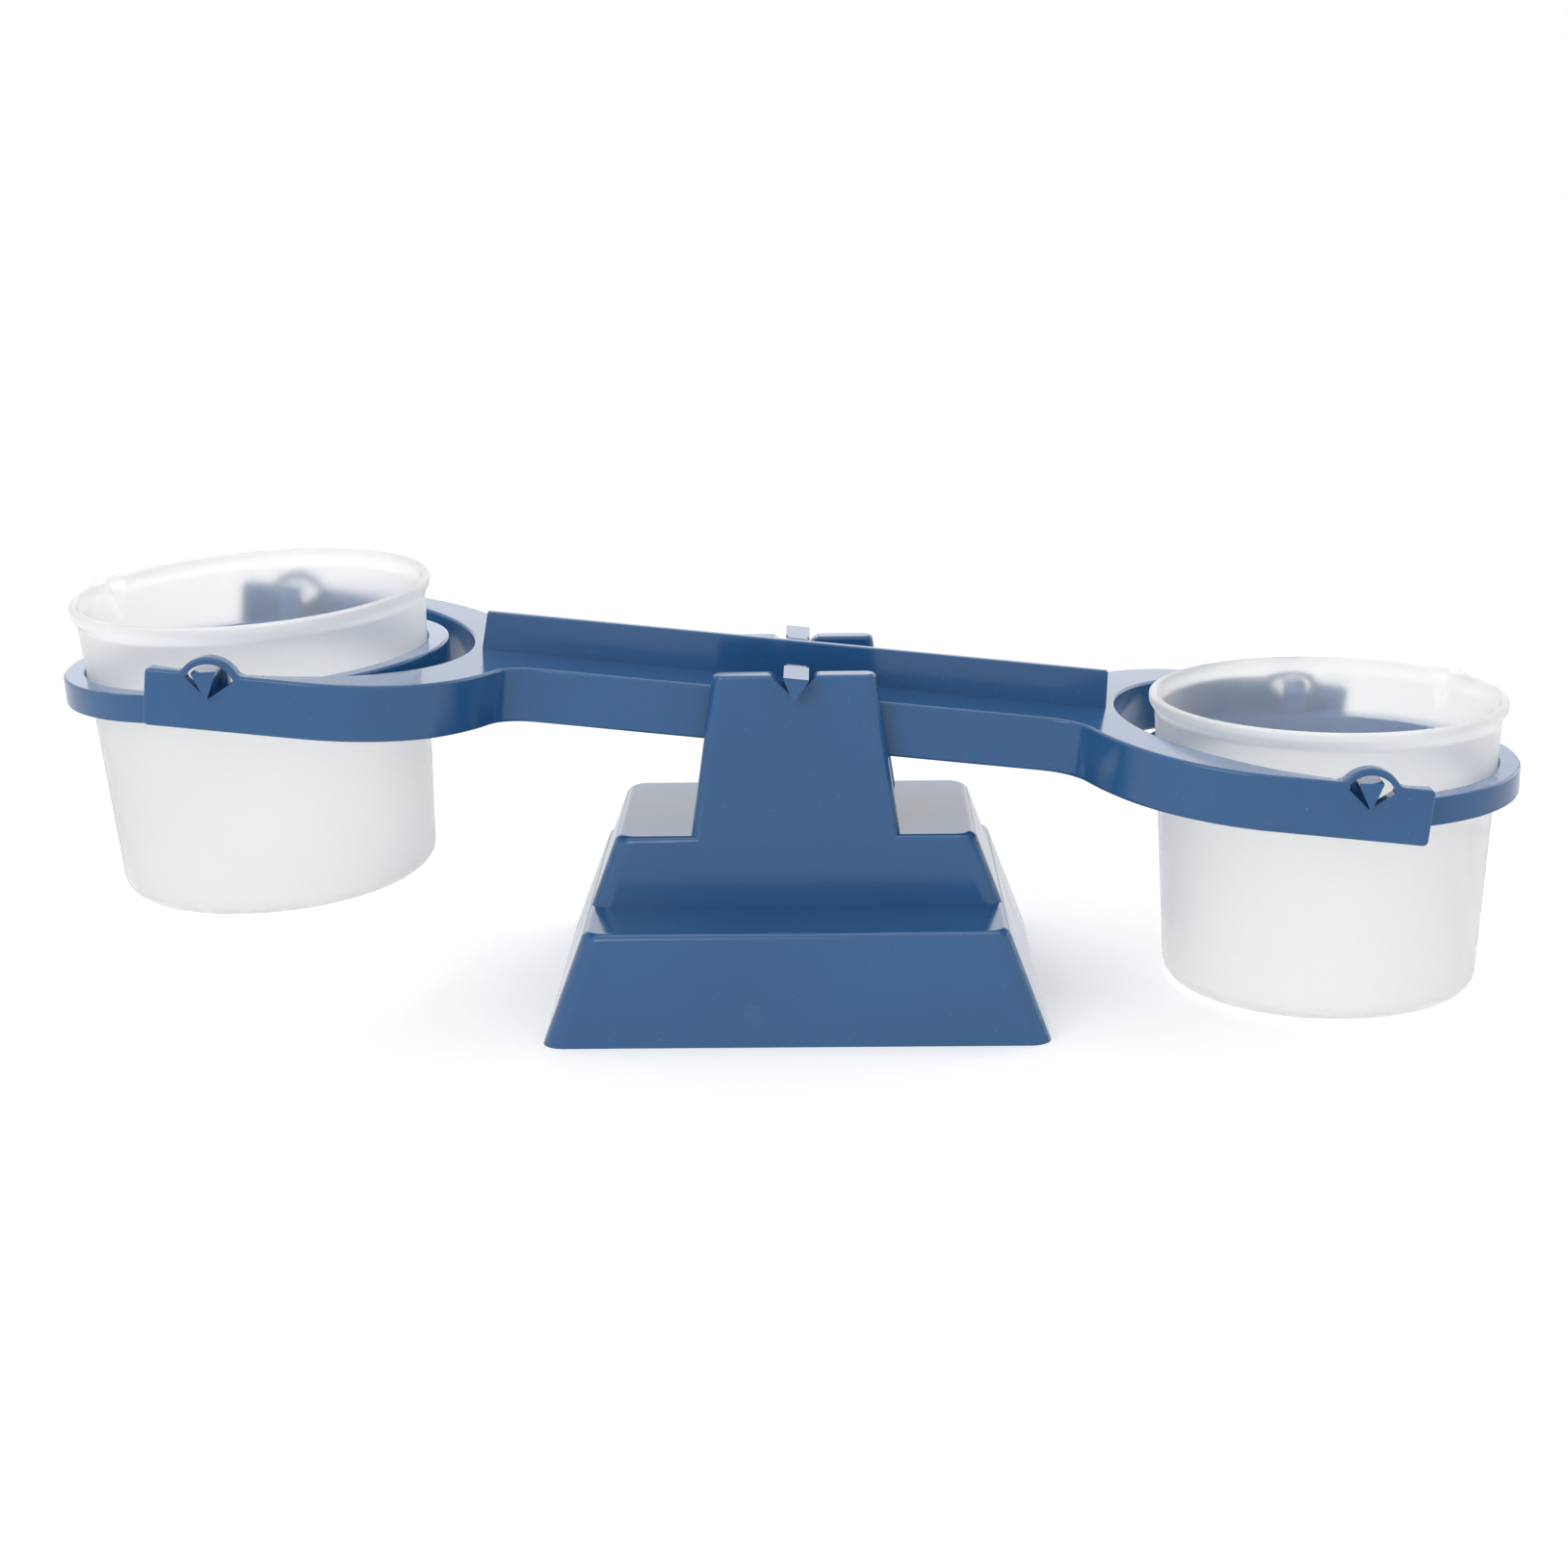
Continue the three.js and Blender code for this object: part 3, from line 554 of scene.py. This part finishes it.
def ring_moulding(name):
    ring = piece_of(turned(ring_section()), name)
    for side in (-1, 1):
        combine(ring, piece_of(pillar(side), "pillar"), "UNION")
        edge = knife(PILLAR_HALF, PILLAR_TOP, *on_side(side, RING_KNIFE_START, RING_KNIFE_END))
        combine(ring, piece_of(edge, "ring_knife"), "UNION")
    return ring


ring_places = {}
for name, side, lean in (("left", -1, -3.5), ("right", 1, 0.0)):
    hang = beam_place @ Matrix.Translation(Vector((side * REACH, 0, -DROP)) * MM)
    ring_places[name] = hang @ Matrix.Rotation(math.radians(lean) - TILT, 4, "Y")
    ring = ring_moulding(f"{name}_ring_moulding")
    settle(ring, ring_places[name], f"{name}_ring_body", f"{name}_ring")

# %% [markdown]
# A bucket is a turned cup of even wall with a rounded heel and a flared rim. The outside and the hollow
# are made as two solids, and the hollow is cut from the outside. Solidify could give the wall too, but
# two sections leave the rim and the mouth free to have their own shapes.

# %% Sections of a bucket
RIM, UNDER_RIM, FLARE, FLARE_RISE, FLARE_OUT, FLARE_STEPS = 16.0, 13.0, 10.6, 3.6, 1.5, 8
WALL, HEEL, BASE_EDGE, BASE_STEP, RIM_ROUND = 1.3, 5.0, 36, 0.5, 0.8
MOUTH = ((0.3, -0.7), (0.55, -0.2), (1.95, 1.4))  # out from the wall, up from the rim
WALL_LEAN, HEEL_X = -math.degrees(math.atan(DRAFT)), bucket_radius(FOOT + HEEL) - HEEL


def outside_section():
    """From the middle of the base, round the heel and up over the rim to the axis again."""
    points = [(0, FOOT + BASE_STEP), (BASE_EDGE - 1, FOOT + BASE_STEP), (BASE_EDGE, FOOT)]
    points += bend(HEEL_X, FOOT + HEEL, HEEL, -90, WALL_LEAN, 10)
    rim = bucket_radius(UNDER_RIM) + FLARE_OUT
    for step in (i / FLARE_STEPS for i in range(FLARE_STEPS + 1)):
        out = step * step * (3 - 2 * step)
        points.append((bucket_radius(FLARE) * (1 - out) + rim * out, FLARE + FLARE_RISE * step))
    return [*points, *bend(rim - RIM_ROUND, RIM - RIM_ROUND, RIM_ROUND, 0, 90, 5), (0, RIM)]


def inside_section():
    """The same for the hollow, a wall further in, up to a mouth that opens over the rim."""
    points = [(radius, FOOT + WALL + BASE_STEP) for radius in (0, BASE_EDGE)]
    points += bend(HEEL_X, FOOT + HEEL, HEEL - WALL, -90, WALL_LEAN, 10)[1:]
    points += [(bucket_radius(z) - WALL, z) for z in (FLARE, UNDER_RIM)]
    points += [(bucket_radius(RIM) - WALL + out, RIM + up) for out, up in MOUTH]
    return [*points, (0, points[-1][1])]


rim_radius = max(radius for radius, height in outside_section())
print("a bucket is", round(2 * rim_radius, 1), "mm across at its rim")

# %% [markdown]
# The pouring lip is a V that stands out of the wall. A cone of four sides, pulled over so that one edge
# leans out, gives the V. The outside and the hollow each get their own, so the wall stays even there too.
# The rim's bead follows the V as a flat diamond.

# %% Pouring lip
LIP_LENGTH, LIP_HALF, LIP_OUT, LIP_HEIGHT, LIP_WALL = 9.2, 9.79355, 4.6, 15.5, 1.4 * WALL
BEAD_LENGTH, BEAD_HALF, BEAD_OUT, BEAD_ROUND = 13.2, 14.5, 2.3, 0.7
LIP_TIP, LIP_APEX = bucket_radius(RIM) + LIP_OUT, RIM - LIP_HEIGHT
LIP_TOP, BEAD_TOP = RIM - 0.3, RIM - 0.06
INNER_LIP_TOP, INNER_LIP_APEX = RIM + 1, LIP_APEX + 2


def lip_wedge(wall, apex, top):
    """An upside-down pyramid, set in by a wall; one edge leans from the apex out to the tip at the rim."""
    apex_x, top_x, height = bucket_radius(LIP_APEX) - wall, LIP_TIP - wall - LIP_LENGTH, top - apex
    bm = bmesh.new()
    bmesh.ops.create_cone(bm, cap_ends=True, segments=4, radius1=0, radius2=1, depth=height)
    bmesh.ops.remove_doubles(bm, verts=bm.verts, dist=DRAWN_MERGE)
    for vert in bm.verts:
        rise = vert.co.z / height + 0.5
        centre = apex_x + (top_x - apex_x) * rise
        vert.co = Vector((centre + LIP_LENGTH * vert.co.x, LIP_HALF * vert.co.y, apex + rise * height))
    return bm


def lip_bead():
    bm = bmesh.new()
    tip = LIP_TIP + BEAD_OUT
    corners = [(tip, 0), (tip - LIP_LENGTH, BEAD_HALF),
               (tip - BEAD_LENGTH, 0), (tip - LIP_LENGTH, -BEAD_HALF)]
    bm.faces.new([bm.verts.new((x, y, UNDER_RIM)) for x, y in corners])
    return rounded(swept(bm, (0, 0, BEAD_TOP - UNDER_RIM)), BEAD_ROUND)


print("the lip stands out", LIP_OUT, "mm and is", LIP_HEIGHT, "mm high")

# %% [markdown]
# The hollow is turned by half a step of its spin, so that its edges cross those of the outside and don't
# lie along them, which would leave slivers. Each bucket then gets an attribute that marks the thick rim
# for its finish, and is set in its ring: the left one a little askew, as loose buckets stand.

# %% Buckets
SEAT = 4.9  # the ring holds a bucket this far below its knife edges


def bucket_moulding(name):
    cup = piece_of(turned(outside_section()), name)
    combine(cup, piece_of(lip_wedge(0, LIP_APEX, LIP_TOP), "lip"), "UNION")
    combine(cup, piece_of(lip_bead(), "lip_bead"), "UNION")
    hollow = turned(inside_section())
    half_step = Matrix.Rotation(math.pi / SPIN_STEPS, 3, "Z")
    bmesh.ops.rotate(hollow, cent=(0, 0, 0), matrix=half_step, verts=hollow.verts)
    hollow = piece_of(hollow, "hollow")
    combine(hollow, piece_of(lip_wedge(LIP_WALL, INNER_LIP_APEX, INNER_LIP_TOP), "inner_lip"), "UNION")
    combine(cup, hollow, "DIFFERENCE")
    thickness = cup.data.attributes.new("thickness", "FLOAT", "POINT")
    for vert, mark in zip(cup.data.vertices, thickness.data):
        mark.value = min(1, max(0, (vert.co.z - FLARE) / (UNDER_RIM - FLARE)))
    return cup


def rotation(degrees, axis):
    return Matrix.Rotation(math.radians(degrees), 4, axis)


for name, tip, lean, lift, lip in (("left", 2.3, 1.0, 1.2, 155.0), ("right", 0.0, 0.0, 0.0, 36.5)):
    seat = ring_places[name] @ Matrix.Translation((0, 0, -SEAT * MM))
    askew = seat @ rotation(tip, "X") @ rotation(lean, "Y")
    place = askew @ Matrix.Translation((0, 0, (SEAT + lift) * MM)) @ rotation(lip, "Z")
    bucket = bucket_moulding(f"{name}_bucket_moulding")
    settle(bucket, place, f"{name}_bucket_body", f"{name}_bucket")

# %% [markdown]
# A finish is a small tree of nodes. A noise texture that reads Object coordinates needs no unwrapping and
# keeps its scale on every piece, so all the variation here comes from such noise. Map Range spreads it
# over the range that a socket wants.

# %% Helpers for finishes
def spread(nodes, links, value, low, high, start=0.0, end=1.0, ease="LINEAR"):
    """Spreads a value that goes from start to end over low to high."""
    span = nodes.new("ShaderNodeMapRange")
    span.interpolation_type = ease
    for socket, number in zip(("From Min", "From Max", "To Min", "To Max"), (start, end, low, high)):
        span.inputs[socket].default_value = number
    links.new(value, span.inputs["Value"])
    return span.outputs["Result"]


def start_finish(name):
    """A new material with its nodes, and a noise maker that reads Object coordinates."""
    material = bpy.data.materials.new(name)
    material.use_nodes = True
    nodes, links = material.node_tree.nodes, material.node_tree.links
    place = nodes.new("ShaderNodeTexCoord")

    def noise(scale, detail, low, high, peak=0.7):
        texture = nodes.new("ShaderNodeTexNoise")
        texture.inputs["Scale"].default_value = scale
        texture.inputs["Detail"].default_value = detail
        links.new(place.outputs["Object"], texture.inputs["Vector"])
        return spread(nodes, links, texture.outputs["Fac"], low, high, 0.3, peak)

    return material, nodes, links, noise


def mix_colours(nodes, links, factor, first, second):
    mix = nodes.new("ShaderNodeMix")
    mix.data_type = "RGBA"
    links.new(factor, mix.inputs["Factor"])
    for socket, colour in zip((mix.inputs["A"], mix.inputs["B"]), (first, second)):
        if isinstance(colour, tuple):
            socket.default_value = (*colour, 1)
        else:
            links.new(colour, socket)
    return mix.outputs["Result"]


def bump(nodes, links, height, strength, distance, under=None):
    made = nodes.new("ShaderNodeBump")
    made.inputs["Strength"].default_value = strength
    made.inputs["Distance"].default_value = distance
    links.new(height, made.inputs["Height"])
    if under:
        links.new(under, made.inputs["Normal"])
    return made.outputs["Normal"]


def give(material, names):
    for name in names:
        mesh = bpy.data.objects[f"{name}_moulding"].data
        mesh.materials.clear()
        mesh.materials.append(material)
    print(material.name, "on", ", ".join(names))


# %% [markdown]
# Moulded polypropylene is never one flat colour. Its blue drifts a little from place to place, faint
# scuffs and a few pale specks lie on it, its gloss varies with handling, and its skin has a slow wave
# under a fine grain. A mix with a factor that is mostly below zero leaves the colour alone except at the
# peaks of its noise, which is how the scuffs and specks stay rare.

# %% Blue plastic
DEEP_BLUE, LIGHT_BLUE = (0.021, 0.094, 0.238), (0.024, 0.103, 0.256)
SCUFF, SPECK = (0.16, 0.24, 0.38), (0.3, 0.38, 0.5)

blue, nodes, links, noise = start_finish("blue_satin_plastic")
plastic = nodes["Principled BSDF"]
drift = mix_colours(nodes, links, noise(18, 3, 0, 1), DEEP_BLUE, LIGHT_BLUE)
scuffed = mix_colours(nodes, links, noise(150, 5, -1.1, 0.05), drift, SCUFF)
specked = mix_colours(nodes, links, noise(1100, 1, -5, 0.14, peak=0.78), scuffed, SPECK)
links.new(specked, plastic.inputs["Base Color"])
links.new(noise(45, 6, 0.12, 0.17), plastic.inputs["Roughness"])
wave = bump(nodes, links, noise(28, 2, 0, 1), 0.04, 0.001)
links.new(bump(nodes, links, noise(1800, 3, 0, 1), 0.03, 0.0002, wave), plastic.inputs["Normal"])
plastic.inputs["IOR"].default_value = 1.5
give(blue, ("stand", "beam", "left_ring", "right_ring"))

# %% [markdown]
# The buckets are frosted: what touches the wall shows sharply through it, and what is further away blurs.
# A rough transmission does just that, and the share that isn't transmitted is the milky white of the
# plastic. The rim is thicker than the wall, so more of it is milky. Cycles lets no lamp shine straight
# through a rough clear wall, so a Transparent shader takes over for shadow rays alone, and the light
# reaches the inside of a bucket as it does through real frosted plastic.

# %% Frosted plastic
MILK, PALE_MILK, SHADE = (0.915, 0.92, 0.925), (0.94, 0.945, 0.95), (0.91, 0.91, 0.915)
WALL_CLEAR, RIM_CLEAR = 0.9, 0.6

frosted, nodes, links, noise = start_finish("frosted_milky_plastic")
plastic = nodes["Principled BSDF"]
links.new(mix_colours(nodes, links, noise(22, 2, 0, 1), MILK, PALE_MILK), plastic.inputs["Base Color"])
links.new(noise(60, 4, 0.46, 0.52), plastic.inputs["Roughness"])
links.new(bump(nodes, links, noise(1500, 3, 0, 1), 0.05, 0.0002), plastic.inputs["Normal"])
thickness = nodes.new("ShaderNodeAttribute")
thickness.attribute_name = "thickness"
clear = spread(nodes, links, thickness.outputs["Fac"], WALL_CLEAR, RIM_CLEAR)
links.new(clear, plastic.inputs["Transmission Weight"])
plastic.inputs["IOR"].default_value = 1.2
let_by = nodes.new("ShaderNodeBsdfTransparent")
let_by.inputs["Color"].default_value = (*SHADE, 1)
either = nodes.new("ShaderNodeMixShader")
links.new(nodes.new("ShaderNodeLightPath").outputs["Is Shadow Ray"], either.inputs["Fac"])
links.new(plastic.outputs["BSDF"], either.inputs[1])
links.new(let_by.outputs["BSDF"], either.inputs[2])
links.new(either.outputs["Shader"], nodes["Material Output"].inputs["Surface"])
give(frosted, ("left_bucket", "right_bucket"))

# %% [markdown]
# The stage is a plain white floor under a white sky. Light Path tells which kind of ray looks at them.
# Camera and mirror-like rays meet pure white, and rays through a frosted wall a shade less, so that the
# pale buckets stand off from what is behind them. The light that falls on the object is kept at a plain
# level, so the blue renders as it is written.

# %% Sky
SKY_LIGHT, WHITE_THROUGH_WALL = 0.62, 0.93


def reckon(nodes, links, operation, first, second):
    made = nodes.new("ShaderNodeMath")
    made.operation = operation
    links.new(first, made.inputs[0])
    links.new(second, made.inputs[1])
    return made.outputs["Value"]


def looking(nodes, links):
    """Three sockets: 1 for a camera ray, 1 for a ray that is sent on, and the white that the ray meets."""
    path = nodes.new("ShaderNodeLightPath")
    through = path.outputs["Is Transmission Ray"]
    sent_on = reckon(nodes, links, "MAXIMUM", path.outputs["Is Glossy Ray"], through)
    return path.outputs["Is Camera Ray"], sent_on, spread(nodes, links, through, 1.0, WHITE_THROUGH_WALL)


world = bpy.data.worlds.new("white_sky")
world.use_nodes = True
bpy.context.scene.world = world
nodes, links = world.node_tree.nodes, world.node_tree.links
sky = nodes["Background"]
sky.inputs["Color"].default_value = (1, 1, 1, 1)
by_camera, sent_on, white = looking(nodes, links)
seen = reckon(nodes, links, "MAXIMUM", by_camera, sent_on)
light = reckon(nodes, links, "MULTIPLY", spread(nodes, links, seen, SKY_LIGHT, 1.0), white)
links.new(light, sky.inputs["Strength"])
print("sky ready")

# %% [markdown]
# The floor is a matt white sheet, which takes the soft shadow of the object. Its edge would show against
# the sky, so further out it fades into a glow of the sky's own white.

# %% Floor
FLOOR_HALF, FLOOR_WHITE, FLOOR_GLOW = 4000, 0.9, 0.25
FADE_START, FADE_END = 0.30, 0.75

bm = bmesh.new()
bmesh.ops.create_grid(bm, x_segments=1, y_segments=1, size=FLOOR_HALF)
floor = piece_of(bm, "floor")
floor.data.transform(Matrix.Scale(MM, 4))
paper = bpy.data.materials.new("white_paper")
paper.use_nodes = True
nodes, links = paper.node_tree.nodes, paper.node_tree.links
sheet = nodes["Principled BSDF"]
sheet.inputs["Base Color"].default_value = (FLOOR_WHITE, FLOOR_WHITE, FLOOR_WHITE, 1)
sheet.inputs["Roughness"].default_value = 1
sheet.inputs["Specular IOR Level"].default_value = 0
sheet.inputs["Emission Color"].default_value = (1, 1, 1, 1)
by_camera, sent_on, white = looking(nodes, links)
links.new(spread(nodes, links, by_camera, 0.0, FLOOR_GLOW), sheet.inputs["Emission Strength"])
far_off = nodes.new("ShaderNodeVectorMath")
far_off.operation = "LENGTH"
links.new(nodes.new("ShaderNodeTexCoord").outputs["Object"], far_off.inputs[0])
fade = spread(nodes, links, far_off.outputs["Value"], 0.0, 1.0, FADE_START, FADE_END, "SMOOTHSTEP")
shown = reckon(nodes, links, "MULTIPLY", fade, by_camera)
glow = nodes.new("ShaderNodeEmission")
links.new(white, glow.inputs["Strength"])
blend = nodes.new("ShaderNodeMixShader")
links.new(reckon(nodes, links, "MAXIMUM", shown, sent_on), blend.inputs["Fac"])
links.new(sheet.outputs["BSDF"], blend.inputs[1])
links.new(glow.outputs["Emission"], blend.inputs[2])
links.new(blend.outputs["Shader"], nodes["Material Output"].inputs["Surface"])
floor.data.materials.append(paper)
print("floor ready")

# %% [markdown]
# Four large soft lamps shape the forms: one overhead, one beside the camera, one behind that lights the
# tops, and one at the right that brings out the sloping sides.

# %% Lamps
LIT_POINT = Vector((0, 0, 0.06))
LAMPS = (  # place and size in metres, and watts
    ("overhead", (0.1, 0.2, 1.8), 1.6, 7),
    ("beside_camera", (-0.8, -1.7, 0.9), 1.4, 15),
    ("behind", (0.0, 1.9, 0.75), 2.2, 10.5),
    ("right_hand", (1.7, 1.2, 0.6), 1.4, 8),
)
for name, place, size, watts in LAMPS:
    softbox = bpy.data.lights.new(name, "AREA")
    softbox.size = size
    softbox.energy = watts
    lamp = bpy.data.objects.new(name, softbox)
    lamp.location = place
    lamp.rotation_euler = (LIT_POINT - lamp.location).to_track_quat("-Z", "Y").to_euler()
    bpy.context.scene.collection.objects.link(lamp)
bpy.context.scene.view_settings.view_transform = "Standard"
print(len(LAMPS), "lamps ready")
